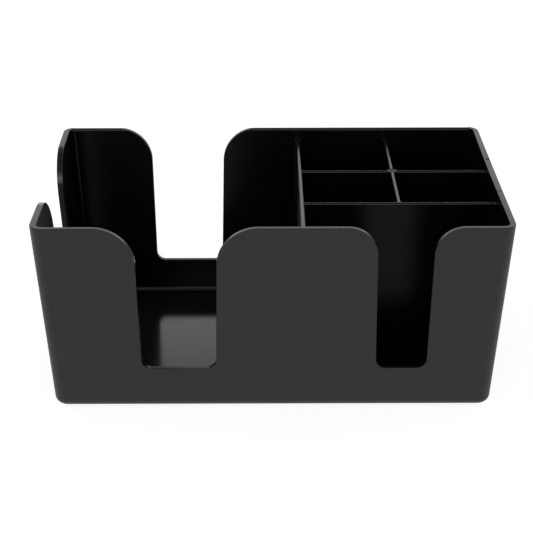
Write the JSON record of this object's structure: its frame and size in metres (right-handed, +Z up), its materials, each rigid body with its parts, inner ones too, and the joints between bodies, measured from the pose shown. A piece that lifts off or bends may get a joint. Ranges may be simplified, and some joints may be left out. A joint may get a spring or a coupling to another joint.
{
  "type": "napkin dispenser",
  "caption": "Open-top black plastic bar caddy with a napkin bay, a straw bay and small condiment cells, with round-shouldered cut-outs for reaching in.",
  "frame": {"origin": "on the counter, under the middle of the tray", "axes": "+X to the right along the tray's long side, +Y to the back, +Z up, seen from the side with the straw cut-out"},
  "size_m": [0.2412, 0.146, 0.1079],
  "materials": {
    "tray_plastic": "fine spark texture outside, polished inside",
    "divider_plastic": "polished, with brushed top edges",
    "foot_rubber": "plain matte"
  },
  "bodies": {
    "root": {"caddy_shell": "tray_plastic", "napkin_partition": "divider_plastic", "straw_divider": "divider_plastic", "rear_divider": "divider_plastic", "cross_divider_front": "divider_plastic", "cross_divider_rear": "divider_plastic", "foot_front_left": "foot_rubber", "foot_front_right": "foot_rubber", "foot_rear_left": "foot_rubber", "foot_rear_right": "foot_rubber"}
  },
  "joints": []
}
